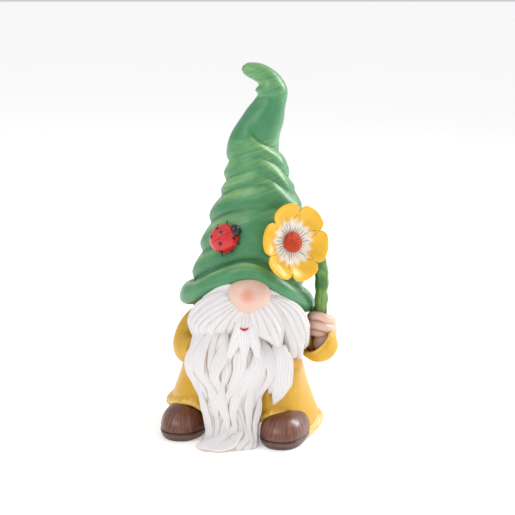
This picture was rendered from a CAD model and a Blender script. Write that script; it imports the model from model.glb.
import math

import bpy
import numpy as np
from bpy.props import FloatProperty, FloatVectorProperty, IntProperty, PointerProperty
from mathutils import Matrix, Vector


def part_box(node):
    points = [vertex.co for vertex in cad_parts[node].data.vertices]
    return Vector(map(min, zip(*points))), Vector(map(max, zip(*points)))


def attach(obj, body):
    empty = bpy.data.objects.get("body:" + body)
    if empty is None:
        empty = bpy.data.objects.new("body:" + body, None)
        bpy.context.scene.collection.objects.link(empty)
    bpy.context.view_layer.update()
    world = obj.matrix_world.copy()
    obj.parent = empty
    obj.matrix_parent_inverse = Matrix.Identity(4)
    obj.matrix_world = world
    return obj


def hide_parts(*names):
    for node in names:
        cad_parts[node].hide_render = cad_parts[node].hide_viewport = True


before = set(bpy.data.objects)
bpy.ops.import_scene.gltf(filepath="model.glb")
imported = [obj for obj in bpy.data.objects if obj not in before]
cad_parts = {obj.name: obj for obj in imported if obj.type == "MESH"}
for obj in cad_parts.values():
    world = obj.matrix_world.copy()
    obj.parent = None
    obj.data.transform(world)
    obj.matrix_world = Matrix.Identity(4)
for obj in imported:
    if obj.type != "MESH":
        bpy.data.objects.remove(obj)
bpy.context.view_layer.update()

bl_info = {
    "name": "Garden Gnome",
    "version": (1, 0, 0),
    "blender": (4, 5, 0),
    "location": "3D View > Sidebar > Gnome",
    "description": "Sculpts and paints a garden gnome over its fixed frame",
    "category": "Add Mesh",
}

# Shapes are worked out in millimetres, with the feet pointing along -Y, and then moved to where
# the frame has the figure. The head's pieces face -Y too and are turned by HEAD_YAW.
HEAD_YAW = math.radians(14.0)
FOOT = np.array([42.0, -26.0])       # middle of the left boot before the move
_low, _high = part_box("boot_sole_left")
MOVE = np.array([(_low.x + _high.x) * 500 - FOOT[0], (_low.y + _high.y) * 500 - FOOT[1], 0.0])
FRONT = np.array([0.0, -1.0, 0.0])
UP = np.array([0.0, 0.0, 1.0])
MM = 0.001
LOCK_POINT = 0.024                   # how thin a lock's ends are, as a part of its full width
LOCK_RIPPLE = 0.108                  # bumps along a lock, mm


# ------------------------------------------------------------------ curves, noise, folds
def smooth(values, count):
    """count values along a smooth curve through the given rows."""
    values = np.asarray(values, float)
    knots = np.arange(len(values))
    at = np.linspace(0, len(values) - 1, count)
    return spline(at, knots, values)


def spline(at, knots, values):
    """Smooth cubic curve through (knots, values), read at the places in at."""
    knots, values = np.asarray(knots, float), np.asarray(values, float)
    gap = np.diff(knots)
    shape = (-1,) + (1,) * (values.ndim - 1)
    slope = np.diff(values, axis=0) / gap.reshape(shape)
    lean = np.empty_like(values)
    lean[0], lean[-1] = slope[0], slope[-1]
    if len(knots) > 2:
        lean[1:-1] = (slope[:-1] + slope[1:]) / 2
    at = np.clip(at, knots[0], knots[-1])
    cell = np.clip(np.searchsorted(knots, at, side="right") - 1, 0, len(gap) - 1)
    t = ((at - knots[cell]) / gap[cell]).reshape(at.shape + (1,) * (values.ndim - 1))
    h = gap[cell].reshape(at.shape + (1,) * (values.ndim - 1))
    a, b, c, d = values[cell], values[cell + 1], lean[cell] * h, lean[cell + 1] * h
    return ((2 * t**3 - 3 * t**2 + 1) * a + (t**3 - 2 * t**2 + t) * c
            + (3 * t**2 - 2 * t**3) * b + (t**3 - t**2) * d)


def net(grid, u, v):
    """A smooth surface through a net of points, read at u along its first side and v along its second."""
    def weights(place, count):
        place = np.clip(place, 0, 1) * (count - 1)
        cell = np.clip(np.floor(place).astype(int), 0, count - 2)
        f = place - cell
        parts = (-f**3 + 2 * f**2 - f, 3 * f**3 - 5 * f**2 + 2, -3 * f**3 + 4 * f**2 + f, f**3 - f**2)
        return [(np.clip(cell + k - 1, 0, count - 1), part / 2) for k, part in enumerate(parts)]
    grid = np.asarray(grid, float)
    total = 0.0
    for i, a in weights(u, grid.shape[0]):
        for j, b in weights(v, grid.shape[1]):
            total = total + grid[i, j] * (a * b)[..., None]
    return total


def ripple(points, size, seed, waves=9):
    """Smooth seeded noise of about -1 to 1; size is the width of its bumps in mm."""
    rng = np.random.default_rng(seed)
    total = 0.0
    for _ in range(waves):
        way = rng.normal(size=3)
        way = way / np.linalg.norm(way) * (math.pi / (size * rng.uniform(0.7, 1.5)))
        total = total + np.sin(points @ way + rng.uniform(0, 2 * math.pi))
    return total * 0.47 / math.sqrt(waves) * 2


def bump(x, middle, spread):
    """A smooth hump of height 1."""
    return np.exp(-((x - middle) / spread) ** 2)


def rounded(wave, power):
    """A sine or cosine made squarer (power under 1) or more pointed, with its sign kept."""
    return np.sign(wave) * np.abs(wave) ** power


def round_turns(count):
    """Angles once round, without the last one."""
    return np.linspace(0, 2 * math.pi, count, endpoint=False)


def uneven(rings, size, seed, amount):
    """Rings with soft hand-made bumps of the given width and height."""
    return rings + outward(rings) * (ripple(rings, size, seed) * amount)[..., None]


def lathe(profile, around):
    """Rings turned round the Z axis from rows of radius and height."""
    turn = round_turns(around)
    return np.stack([profile[:, :1] * np.cos(turn), profile[:, :1] * np.sin(turn),
                     profile[:, 1:] + 0 * turn], axis=-1)


def unit(v):
    return v / np.maximum(np.linalg.norm(v, axis=-1, keepdims=True), 1e-9)


def grooves(across, strands, seed):
    """(height, depth) of hair strands at a place across a lock, -1 to 1; both are 0 to 1."""
    rng = np.random.default_rng(seed)
    bends = rng.uniform(-0.35, 0.35, strands + 3)
    place = (across + 1) / 2 * strands
    place = place + np.interp(place, np.arange(-1, strands + 2), bends)
    part = np.abs(np.sin(math.pi * place))
    lifts = rng.uniform(0.75, 1.0, strands + 4)
    lift = lifts[np.clip(np.floor(place).astype(int) + 1, 0, strands + 3)]
    return part**0.8 * lift, (1 - part) ** 2.2


# ------------------------------------------------------------------ clay: grids to meshes
class Clay:
    """Collects closed grids of points, with what the paint needs to know, and makes one mesh."""

    def __init__(self):
        self.points, self.faces, self.count = [], [], 0
        self.fields = {"cavity": [], "ridge": [], "flow": []}

    def add(self, rings, cavity=0.0, ridge=0.0, flow=None, head=False):
        """rings is (along, around, 3). It is closed round, and each end is closed by a fan."""
        rings = np.asarray(rings, float)
        n, m = rings.shape[:2]
        flow = rings if flow is None else np.asarray(flow, float)
        cavity = np.broadcast_to(cavity, (n, m))
        ridge = np.broadcast_to(ridge, (n, m))
        if self.inside_out(rings):
            rings, flow, cavity, ridge = (a[:, ::-1] for a in (rings, flow, cavity, ridge))
        if head:
            rings = turned(rings)
        ends = np.array([rings[0].mean(0), rings[-1].mean(0)])
        self.points.append(np.concatenate([rings.reshape(-1, 3), ends]))
        for name, field in (("cavity", cavity), ("ridge", ridge), ("flow", flow)):
            flat = field.reshape((n * m,) + field.shape[2:])
            tips = np.array([field[0].mean(0), field[-1].mean(0)])
            self.fields[name].append(np.concatenate([flat, tips]))
        at = self.count + np.arange(n * m).reshape(n, m)
        nxt = np.roll(at, -1, axis=1)
        quads = np.stack([at[:-1], nxt[:-1], nxt[1:], at[1:]], axis=-1).reshape(-1, 4)
        first, last = self.count + n * m, self.count + n * m + 1
        self.faces += quads.tolist()
        self.faces += [(first, b, a) for a, b in zip(at[0].tolist(), nxt[0].tolist())]
        self.faces += [(last, a, b) for a, b in zip(at[-1].tolist(), nxt[-1].tolist())]
        self.count += n * m + 2
        return self

    @staticmethod
    def inside_out(rings):
        middle = rings.reshape(-1, 3).mean(0)
        p = rings - middle
        a, b = p[:-1], np.roll(p, -1, axis=1)[:-1]
        c, d = np.roll(p, -1, axis=1)[1:], p[1:]
        volume = (np.cross(b, c) * a).sum() + (np.cross(c, d) * a).sum()
        for end, sign in ((p[0], -1), (p[-1], 1)):
            volume += sign * (np.cross(end, np.roll(end, -1, axis=0)) * end.mean(0)).sum()
        return volume < 0

    def piece(self, name, material, slot, *nodes):
        """The finished object, in metres and in place in the frame."""
        points = np.concatenate(self.points)
        points[:, 2] = np.maximum(points[:, 2], 0.0)
        mesh = bpy.data.meshes.new(name)
        mesh.from_pydata(((points + MOVE) * MM).tolist(), [], self.faces)
        for field, kind, key in (("cavity", "FLOAT", "value"), ("ridge", "FLOAT", "value"),
                                 ("flow", "FLOAT_VECTOR", "vector")):
            data = np.concatenate(self.fields[field])
            data = data * MM if field == "flow" else data
            layer = mesh.attributes.new(field, kind, "POINT")
            layer.data.foreach_set(key, data.astype(np.float32).ravel())
        mesh.shade_smooth()
        mesh.materials.append(material)
        piece = bpy.data.objects.new(name, mesh)
        bpy.context.scene.collection.objects.link(piece)
        return settled(piece, slot, *nodes)


def settled(piece, slot, *nodes):
    """Fixes a piece to the frame's one body and says what it stands for."""
    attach(piece, "root")
    if nodes:
        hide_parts(*nodes)
    return piece


def turned(points):
    """From the head's own directions to the body's."""
    c, s = math.cos(HEAD_YAW), math.sin(HEAD_YAW)
    x, y = points[..., 0], points[..., 1]
    return np.stack([x * c - y * s, x * s + y * c, points[..., 2]], axis=-1)


def swept(path, widths, thicks, face=FRONT, along=60, around=40, square=2.0):
    """Rings along a smooth path, with its outward direction turned to face.

    Returns rings, the place across each ring (-1 to 1), and how far round its outer side (-1 to 1).
    """
    centre = smooth(path, along)
    width, thick = smooth(widths, along), smooth(thicks, along)
    way = unit(np.gradient(centre, axis=0))
    face = smooth(face, along) if np.ndim(face) == 2 else np.broadcast_to(face, centre.shape)
    out = unit(face - (face * way).sum(-1, keepdims=True) * way)
    side = np.cross(way, out)
    turn = round_turns(around)
    c, s = np.cos(turn), np.sin(turn)
    across = rounded(c, 2 / square)
    height = rounded(s, 2 / square)
    rings = (centre[:, None] + side[:, None] * (across[None, :, None] * width[:, None, None])
             + out[:, None] * (height[None, :, None] * thick[:, None, None]))
    return rings, np.broadcast_to(across, rings.shape[:2]), np.broadcast_to(height, rings.shape[:2])


def outward(rings):
    """Unit directions out of a grid of rings."""
    along = np.gradient(rings, axis=0)
    around = np.roll(rings, -1, axis=1) - np.roll(rings, 1, axis=1)
    normal = unit(np.cross(around, along))
    middle = rings.mean(axis=1, keepdims=True)
    return normal * np.sign((normal * (rings - middle)).sum())


def tapered(along, start, end):
    """Widths of 0 to 1 along a lock that thins to a point at one or both ends."""
    at = np.linspace(0, 1, along)
    rise = np.clip(at / max(start, 1e-6), 0, 1) ** 0.6
    fall = np.clip((1 - at) / max(end, 1e-6), 0, 1) ** 0.75
    return np.maximum(np.minimum(rise, fall), LOCK_POINT)


def lock(clay, path, width, thick, seed, face=FRONT, strands=6, start=0.15, end=0.55, depth=0.35,
         along=64, around=48):
    """Adds one tapered lock of hair, cut with strands that run along it."""
    path = np.asarray(path, float)
    rng = np.random.default_rng(seed)
    sway = rng.uniform(0, 2 * math.pi)
    shape = tapered(along, start, end)
    rings, across, height = swept(path, width * shape, thick * np.sqrt(shape), face, along, around, 2.3)
    at = np.linspace(0, 1, along)[:, None]
    drift = across + 0.10 * np.sin(2 * math.pi * at * 1.2 + sway) * (1 - across**2)
    lift, cut = grooves(drift, strands, seed)
    middle = rings.mean(axis=1, keepdims=True)
    front = np.clip(height * 1.6, 0, 1)
    carved = front * (lift - 0.8) * depth * (0.4 + 0.6 * shape[:, None])
    rings = rings + unit(rings - middle) * carved[..., None]
    rings = rings + unit(rings - middle) * (ripple(rings, 6.0, seed + 7) * LOCK_RIPPLE)[..., None]
    sides = np.clip(np.abs(across) - 0.8, 0, 1) * 3.0
    cavity = np.clip(cut * 0.6 * front + sides + (height < -0.1) * 0.6, 0, 1)
    flow = np.stack([across * width + 9.0 * (seed % 17), height * thick, 0 * across], axis=-1)
    flow[..., 2] = np.linspace(0, np.linalg.norm(np.diff(path, axis=0), axis=-1).sum(), along)[:, None]
    clay.add(rings, cavity=cavity, ridge=lift * front, flow=flow, head=True)


# ------------------------------------------------------------------ paint
def socket_group(name, inputs, outputs):
    group = bpy.data.node_groups.new(name, "ShaderNodeTree")
    for kind, label, default in inputs:
        socket = group.interface.new_socket(label, in_out="INPUT", socket_type=kind)
        socket.default_value = default
    for kind, label in outputs:
        group.interface.new_socket(label, in_out="OUTPUT", socket_type=kind)
    return group, group.nodes.new("NodeGroupInput"), group.nodes.new("NodeGroupOutput")


class Wires:
    """Short ways to add and join nodes in one tree."""

    def __init__(self, tree):
        self.tree = tree

    def node(self, kind, settings=None, **inputs):
        node = self.tree.nodes.new(kind)
        for key, value in (settings or {}).items():
            setattr(node, key, value)
        for key, value in inputs.items():
            self.feed(node.inputs[key.replace("_", " ")], value)
        return node

    def feed(self, socket, value):
        if isinstance(value, bpy.types.NodeSocket):
            self.tree.links.new(value, socket)
        else:
            socket.default_value = value

    def math(self, operation, a, b=0.0, clamp=False):
        node = self.node("ShaderNodeMath", {"operation": operation, "use_clamp": clamp})
        self.feed(node.inputs[0], a)
        self.feed(node.inputs[1], b)
        return node.outputs[0]

    def mix(self, factor, a, b):
        node = self.node("ShaderNodeMix", {"data_type": "RGBA"})
        self.feed(node.inputs["Factor"], factor)
        self.feed(node.inputs[6], a)
        self.feed(node.inputs[7], b)
        return node.outputs[2]

    def ramp(self, value, low, high):
        node = self.node("ShaderNodeMapRange", {"interpolation_type": "SMOOTHSTEP"})
        self.feed(node.inputs[0], value)
        self.feed(node.inputs[1], low)
        self.feed(node.inputs[2], high)
        return node.outputs[0]

    def noise(self, vector, scale, detail=3.0, rough=0.55):
        node = self.node("ShaderNodeTexNoise", Vector=vector, Scale=scale, Detail=detail, Roughness=rough)
        return node.outputs[0]

    def stretched(self, vector, scale):
        node = self.node("ShaderNodeMapping", Vector=vector, Scale=scale)
        return node.outputs[0]


def painted_group():
    """Hand-painted cast resin: deep colour in the folds, dry-brushed light on the ridges."""
    if "Hand painted" in bpy.data.node_groups:
        return bpy.data.node_groups["Hand painted"]
    colour, number, vector = "NodeSocketColor", "NodeSocketFloat", "NodeSocketVector"
    group, ins, outs = socket_group("Hand painted", [
        (colour, "Base", (0.5, 0.5, 0.5, 1)), (colour, "Deep", (0.2, 0.2, 0.2, 1)),
        (colour, "Light", (0.8, 0.8, 0.8, 1)), (colour, "Speck", (0.1, 0.06, 0.04, 1)),
        (number, "Deep Amount", 1.0), (number, "Light Amount", 1.0), (number, "Mottle", 0.3),
        (number, "Speck Amount", 0.0), (number, "Roughness", 0.45), (number, "Streak Amount", 1.5),
        (vector, "Streaks", (300.0, 300.0, 1500.0))],
        [(colour, "Color"), (number, "Roughness"), (number, "Height")])
    w = Wires(group)
    cavity = w.node("ShaderNodeAttribute", {"attribute_name": "cavity"}).outputs["Fac"]
    ridge = w.node("ShaderNodeAttribute", {"attribute_name": "ridge"}).outputs["Fac"]
    flow = w.node("ShaderNodeAttribute", {"attribute_name": "flow"}).outputs["Vector"]
    object_space = w.node("ShaderNodeTexCoord").outputs["Object"]
    streak = w.noise(w.stretched(flow, ins.outputs["Streaks"]), 1.0, 4.0, 0.6)
    fine = w.noise(object_space, 900.0, 3.0)
    broad = w.noise(object_space, 45.0, 3.0)
    blotch = w.noise(object_space, 160.0, 4.0, 0.6)
    mottled = w.math("MULTIPLY",
                     w.math("SUBTRACT", w.math("ADD", broad, w.math("MULTIPLY", blotch, 0.6)), 0.8), 1.6)
    mottled = w.math("MULTIPLY", mottled, ins.outputs["Mottle"])
    worn = w.math("ADD", ridge,
                  w.math("MULTIPLY", w.math("SUBTRACT", streak, 0.5), ins.outputs["Streak Amount"]))
    light = w.math("MULTIPLY", w.ramp(worn, 0.25, 1.05), ins.outputs["Light Amount"], clamp=True)
    light = w.math("ADD", light, w.math("MAXIMUM", mottled, 0.0), clamp=True)
    sunk = w.math("ADD", cavity, w.math("MULTIPLY", w.math("SUBTRACT", blotch, 0.5), 0.28))
    deep = w.math("MULTIPLY", w.ramp(sunk, 0.15, 0.95), ins.outputs["Deep Amount"], clamp=True)
    deep = w.math("ADD", deep, w.math("MAXIMUM", w.math("MULTIPLY", mottled, -1.0), 0.0), clamp=True)
    tone = w.mix(deep, w.mix(light, ins.outputs["Base"], ins.outputs["Light"]), ins.outputs["Deep"])
    dots = w.node("ShaderNodeTexVoronoi", {"feature": "F1"}, Vector=object_space, Scale=95.0)
    dot = w.ramp(w.math("ADD", dots.outputs["Distance"], w.math("MULTIPLY", fine, 0.1)), 0.14, 0.09)
    chance = w.node("ShaderNodeSeparateColor", Color=dots.outputs["Color"]).outputs[0]
    rare = w.math("GREATER_THAN", chance, 0.82)
    dot = w.math("MULTIPLY", w.math("MULTIPLY", dot, rare), ins.outputs["Speck Amount"])
    w.feed(outs.inputs["Color"], w.mix(dot, tone, ins.outputs["Speck"]))
    rough = w.math("ADD", ins.outputs["Roughness"], w.math("MULTIPLY", w.math("SUBTRACT", blotch, 0.5), 0.22))
    rough = w.math("ADD", rough, w.math("MULTIPLY", deep, 0.12), clamp=True)
    w.feed(outs.inputs["Roughness"], rough)
    height = w.math("ADD", w.math("MULTIPLY", streak, 0.6), w.math("MULTIPLY", fine, 0.25))
    height = w.math("ADD", height, w.math("MULTIPLY", blotch, 0.5))
    w.feed(outs.inputs["Height"], height)
    return group


def paint(name, base, deep, light, roughness=0.45, deep_amount=1.0, light_amount=1.0, mottle=0.3,
          specks=0.0, streaks=(300.0, 300.0, 1500.0), streak=1.5, relief=0.0003, coat=0.0, subsurface=0.0):
    """A painted resin material. Colours are display colours, 0 to 1."""
    name += "_painted"
    if name in bpy.data.materials:
        return bpy.data.materials[name]
    material = bpy.data.materials.new(name)
    material.use_nodes = True
    tree = material.node_tree
    w = Wires(tree)
    shader = tree.nodes["Principled BSDF"]
    group = w.node("ShaderNodeGroup", {"node_tree": painted_group()})
    for label, value in (("Base", linear(base)), ("Deep", linear(deep)), ("Light", linear(light)),
                         ("Deep Amount", deep_amount), ("Light Amount", light_amount), ("Mottle", mottle),
                         ("Speck Amount", specks), ("Roughness", roughness), ("Streaks", streaks),
                         ("Streak Amount", streak)):
        group.inputs[label].default_value = value
    w.feed(shader.inputs["Base Color"], group.outputs["Color"])
    w.feed(shader.inputs["Roughness"], group.outputs["Roughness"])
    bump = w.node("ShaderNodeBump", Height=group.outputs["Height"], Strength=0.7, Distance=relief)
    w.feed(shader.inputs["Normal"], bump.outputs[0])
    shader.inputs["Coat Weight"].default_value = coat
    shader.inputs["Coat Roughness"].default_value = 0.25
    if subsurface:
        shader.inputs["Subsurface Weight"].default_value = subsurface
        shader.inputs["Subsurface Radius"].default_value = (0.004, 0.0025, 0.002)
        shader.inputs["Subsurface Scale"].default_value = 0.6
    return material


def linear(colour):
    """A display colour as the renderer's own."""
    return tuple(c / 12.92 if c <= 0.04045 else ((c + 0.055) / 1.055) ** 2.4 for c in colour[:3]) + (1.0,)


# ------------------------------------------------------------------ settings
def tone(name, words, default):
    return FloatVectorProperty(name=name, description=words, subtype="COLOR", size=3, min=0, max=1,
                               default=default)


class GnomeColours(bpy.types.PropertyGroup):
    hat: tone("Hat", "Main green of the hat", (0.25, 0.53, 0.35))
    hat_light: tone("Hat ridges", "Dry-brushed green on the folds", (0.55, 0.73, 0.46))
    hat_deep: tone("Hat creases", "Deep green in the folds", (0.10, 0.34, 0.20))
    coat: tone("Coat", "Main yellow of the coat", (0.85, 0.65, 0.11))
    coat_deep: tone("Coat recesses", "Orange wash in the coat's recesses", (0.76, 0.42, 0.05))
    coat_light: tone("Coat highlights", "Paler yellow on the coat's high places", (0.96, 0.83, 0.44))
    hair: tone("Hair", "Beard and moustache", (0.875, 0.86, 0.865))
    hair_deep: tone("Hair wash", "Brown wash between the strands", (0.74, 0.62, 0.52))
    skin: tone("Skin", "Nose and hand", (0.89, 0.75, 0.685))
    boots: tone("Boots", "Brown of the boots", (0.39, 0.225, 0.175))
    petals: tone("Petals", "Yellow of the petals", (0.93, 0.72, 0.14))
    stem: tone("Stem", "Green of the stem", (0.24, 0.45, 0.18))


class GnomeSizes(bpy.types.PropertyGroup):
    hat_fold: FloatProperty(name="Fold depth", description="How far the hat's folds stand out",
                            default=0.0046, unit="LENGTH")
    locks: IntProperty(name="Beard locks", description="Broad locks across the beard", default=10, min=4)
    strand_depth: FloatProperty(name="Strand depth", description="Depth of the cuts between strands",
                                default=0.0005, unit="LENGTH")
    grain: FloatProperty(name="Pollen grain", description="Radius of one grain in the flower's middle",
                         default=0.00085, unit="LENGTH")
    grains: IntProperty(name="Pollen grains", description="Grains in the flower's middle", default=170)
    stem_radius: FloatProperty(name="Stem radius", description="Radius of the flower's stem",
                               default=0.0053, unit="LENGTH")


def sizes():
    return bpy.context.scene.gnome_sizes


def colours():
    return bpy.context.scene.gnome_colours


def hat_paint(word="hat_green", deep=None):
    c = colours()
    return paint(word, c.hat, deep or c.hat_deep, c.hat_light, 0.40, 0.62, 0.85, 0.34,
                 streaks=(55.0, 55.0, 420.0), streak=1.0, relief=0.00018, coat=0.15)


def coat_paint():
    c = colours()
    return paint("coat_yellow", c.coat, c.coat_deep, c.coat_light, 0.40, 0.9, 0.8, 0.26,
                 streaks=(230.0, 230.0, 30.0), streak=3.2, relief=0.0002, coat=0.12)


def hair_paint():
    c = colours()
    return paint("hair_white", c.hair, c.hair_deep, (0.945, 0.94, 0.945), 0.6, 0.72, 0.5, 0.09, specks=0.9,
                 streaks=(420.0, 420.0, 40.0), streak=0.5, relief=0.0001)


def skin_paint():
    c = colours()
    return paint("skin", c.skin, (0.72, 0.44, 0.34), (0.88, 0.57, 0.46), 0.45, 0.85, 0.9, 0.05,
                 streaks=(120.0, 120.0, 120.0), streak=0.12, relief=0.0001, subsurface=0.1, coat=0.1)


def stem_paint():
    c = colours()
    return paint("stem_green", c.stem, (0.10, 0.27, 0.11), (0.50, 0.64, 0.30), 0.42, 1.0, 0.8, 0.5,
                 streaks=(600.0, 600.0, 110.0), streak=2.2, relief=0.0004, coat=0.12)


def black_paint():
    return paint("ladybird_black", (0.07, 0.07, 0.08), (0.03, 0.03, 0.03), (0.20, 0.20, 0.22), 0.22, 0.5, 0.3,
                 0.1, coat=0.4)


# ------------------------------------------------------------------ hat
HAT_LINE = (  # sections up the hat: middle, height, half width, lean to the side in degrees
    (4.5, 106.0, 46.5, 0), (5.5, 116.0, 48.2, 0), (6.1, 131.6, 47.9, 0), (7.2, 144.0, 46.2, 0),
    (8.6, 156.0, 44.2, 0), (9.6, 169.0, 41.8, 0), (10.7, 181.0, 38.8, 0), (12.4, 192.0, 34.8, 0),
    (12.9, 199.0, 32.1, 0), (12.1, 206.0, 29.8, 0), (11.5, 213.0, 27.9, 0), (10.4, 222.0, 25.4, 0),
    (9.3, 232.0, 22.4, 0), (9.9, 242.0, 20.3, 0), (14.1, 253.8, 18.1, 0), (17.9, 264.5, 15.4, 0),
    (21.6, 272.5, 12.9, 0), (22.7, 276.8, 12.3, -4), (21.7, 282.0, 12.7, -6), (20.4, 287.6, 10.7, -16),
    (15.8, 292.7, 9.3, -31), (9.2, 296.4, 8.1, -47), (3.4, 298.0, 5.9, -64), (0.9, 298.3, 4.3, -72),
    (-0.8, 298.1, 1.4, -78))
FOLDS = (  # creases: reach above and below, then degrees from the front, height and depth along each
    (4.4, 8.5, (-180, 116, 0.8), (-90, 124, 1.0), (-45, 140, 0.8), (0, 150.5, 0.55), (45, 138, 0.7),
     (90, 120.6, 1.0), (180, 116, 0.8)),
    (4.4, 8.5, (-180, 155, 0.8), (-90, 149, 1.0), (-55, 158, 0.7), (-25, 166, 0.3), (0, 169.8, 0.16),
     (45, 163, 0.25), (90, 154.3, 0.9), (180, 155, 0.8)),
    (4.4, 8.0, (-180, 179, 0.8), (-90, 173, 1.05), (-60, 181, 0.9), (-30, 188, 0.7), (0, 190.5, 0.5),
     (30, 189, 0.4), (90, 179.2, 0.8), (180, 179, 0.8)),
    (4.6, 5.4, (-2, 217, 0), (8, 216, 0.25), (26, 211, 0.5), (54, 200.5, 0.6), (90, 199.5, 0.5),
     (180, 198, 0.7),
     (270, 195, 0.85), (310, 203, 0.75), (345, 207.5, 0.55), (380, 208, 0.3), (402, 208, 0)),
    (4.2, 5.2, (0, 232, 0), (12, 230, 0.35), (47, 221, 0.65), (70, 214, 0.75), (90, 210.5, 0.75),
     (130, 209, 0.8),
     (180, 209, 0.8), (270, 207.6, 0.9), (310, 214, 0.65), (340, 218, 0.4), (372, 221, 0)),
    (3.4, 5.5, (190, 222, 0), (225, 223, 0.5), (270, 223.5, 0.75), (300, 228, 0.4), (332, 229, 0)),
    (7.5, 2.6, (-50, 254, 0), (-27, 250.5, 0.35), (0, 243.6, 0.7), (30, 238, 0.75), (60, 234, 0.7),
     (90, 231.7, 0.6), (130, 230, 0.5), (175, 229, 0.2), (200, 229, 0)),
    (1.6, 1.6, (-130, 277, 0), (-90, 277.5, 0.3), (-45, 278.5, 0.15), (0, 279, 0)),
    (1.6, 2.0, (-130, 284.5, 0), (-90, 285, 0.45), (-40, 287.5, 0.3), (20, 289, 0)))
BARE = (  # how much light green shows at each height
    (100, 0.05), (150, 0.10), (185, 0.28), (215, 0.45), (240, 0.55), (246, 0.20), (266, 0.22),
    (282, 0.50), (304, 0.75))


def hat_folds(z, turn, fold):
    """How far the creases sink at each place, and the dark and light paint that follows them."""
    sunk, dark, pale = 0 * z, 0 * z, 0 * z
    for above, below, *path in FOLDS:
        path = np.array(path, float)
        for lap in (-360, 0, 360):
            at = np.degrees(turn) + lap
            inside = (at >= path[0, 0]) & (at <= path[-1, 0])
            if not inside.any():
                continue
            height = spline(at, path[:, 0], path[:, 1])
            depth = np.clip(spline(at, path[:, 0], path[:, 2]), 0, 1.2) * inside
            off = z - height
            reach = np.where(off > 0, above, below)
            sunk = np.maximum(sunk, depth * fold * np.exp(-(np.abs(off) / reach) ** 1.25))
            dark = np.maximum(dark, depth * bump(off, 0, 0.34 * reach))
            pale = np.maximum(pale, depth * bump(off, -0.75 * below, 0.5 * below + 0.8))
    return sunk, dark, pale


def crown_rings(fold, along=310, around=300):
    """The whole crown up to the tip of its horn, as one grid."""
    line = np.array(HAT_LINE)
    steps = np.linalg.norm(np.diff(line[:, :2], axis=0), axis=1) + 0.25 * np.abs(np.diff(line[:, 2]))
    place = np.concatenate([[0], np.cumsum(steps)])
    x, height, r, lean = spline(np.linspace(0, place[-1], along), place, line).T[:, :, None]
    lean = np.radians(lean)
    turn = np.linspace(-math.pi, math.pi, around, endpoint=False)[None]
    z = height - r * np.sin(lean) * np.sin(turn)
    sunk, dark, pale = hat_folds(z, turn + 0 * z, fold)
    r = r - sunk
    sway = r * np.sin(turn)
    rings = np.stack([x + np.cos(lean) * sway, -r * np.cos(turn) * np.cos(lean * 0.35),
                      height - np.sin(lean) * sway],
                     axis=-1)
    bare = np.interp(z, *np.array(BARE).T)
    ridge = np.clip(bare + 0.6 * pale, 0, 1)
    return rings, np.clip(dark, 0, 1), ridge


def brim_rings(around=360, across=64):
    """A thick roll round the head, low at the sides and arched over the nose."""
    turn = round_turns(around)
    off = np.degrees(np.abs((turn + math.pi) % (2 * math.pi) - math.pi))
    rise = 32.8 * bump(off, 0, 50.0)
    forward = 49.5 + 2.2 * bump(off, 0, 38.0)
    middle = np.stack([3.0 + 48.3 * np.sin(turn), -forward * np.cos(turn),
                       109.5 + rise - 3.2 * np.sin(turn)], axis=-1)
    half_high = 9.9 - 2.2 * bump(off, 0, 60.0)
    half_thick = 6.6 + 0.8 * bump(off, 75, 40.0)
    out = np.stack([np.sin(turn), -np.cos(turn), 0 * turn], axis=-1)
    lean = unit(UP - out * 0.42)
    flat = unit(np.cross(lean, np.stack([np.cos(turn), np.sin(turn), 0 * turn], axis=-1)))
    flat = flat * np.sign((flat * out).sum(-1, keepdims=True))
    spin = round_turns(across)
    c, s = np.cos(spin), np.sin(spin)
    wide = rounded(c, 0.9)
    tall = rounded(s, 0.9)
    grid = (middle[:, None] + flat[:, None] * (wide[None, :, None] * half_thick[:, None, None])
            + lean[:, None] * (tall[None, :, None] * half_high[:, None, None]))
    cavity = np.clip(-wide * 1.2 - 0.1, 0, 1) * 0.9
    ridge = 0.34 + 0.6 * bump(spin, 1.0, 0.55)
    return grid, np.broadcast_to(cavity, grid.shape[:2]), np.broadcast_to(ridge, grid.shape[:2])


def ring_piece(grid, cavity, ridge, flow, name, material, slot, *nodes):
    """A mesh that closes both ways, such as the roll of the brim."""
    n, m = grid.shape[:2]
    at = np.arange(n * m).reshape(n, m)
    a, b = at, np.roll(at, -1, axis=1)
    c, d = np.roll(b, -1, axis=0), np.roll(at, -1, axis=0)
    faces = np.stack([a, b, c, d], axis=-1).reshape(-1, 4)
    clay = Clay()
    clay.points, clay.faces, clay.count = [turned(grid).reshape(-1, 3)], faces.tolist(), n * m
    clay.fields = {"cavity": [cavity.ravel()], "ridge": [ridge.ravel()], "flow": [flow.reshape(-1, 3)]}
    normal = np.cross(grid[0, 1] - grid[0, 0], grid[1, 0] - grid[0, 0])
    if normal @ (grid[0, 0] - grid[0].mean(0)) < 0:
        clay.faces = [face[::-1] for face in clay.faces]
    return clay.piece(name, material, slot, *nodes)


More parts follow.
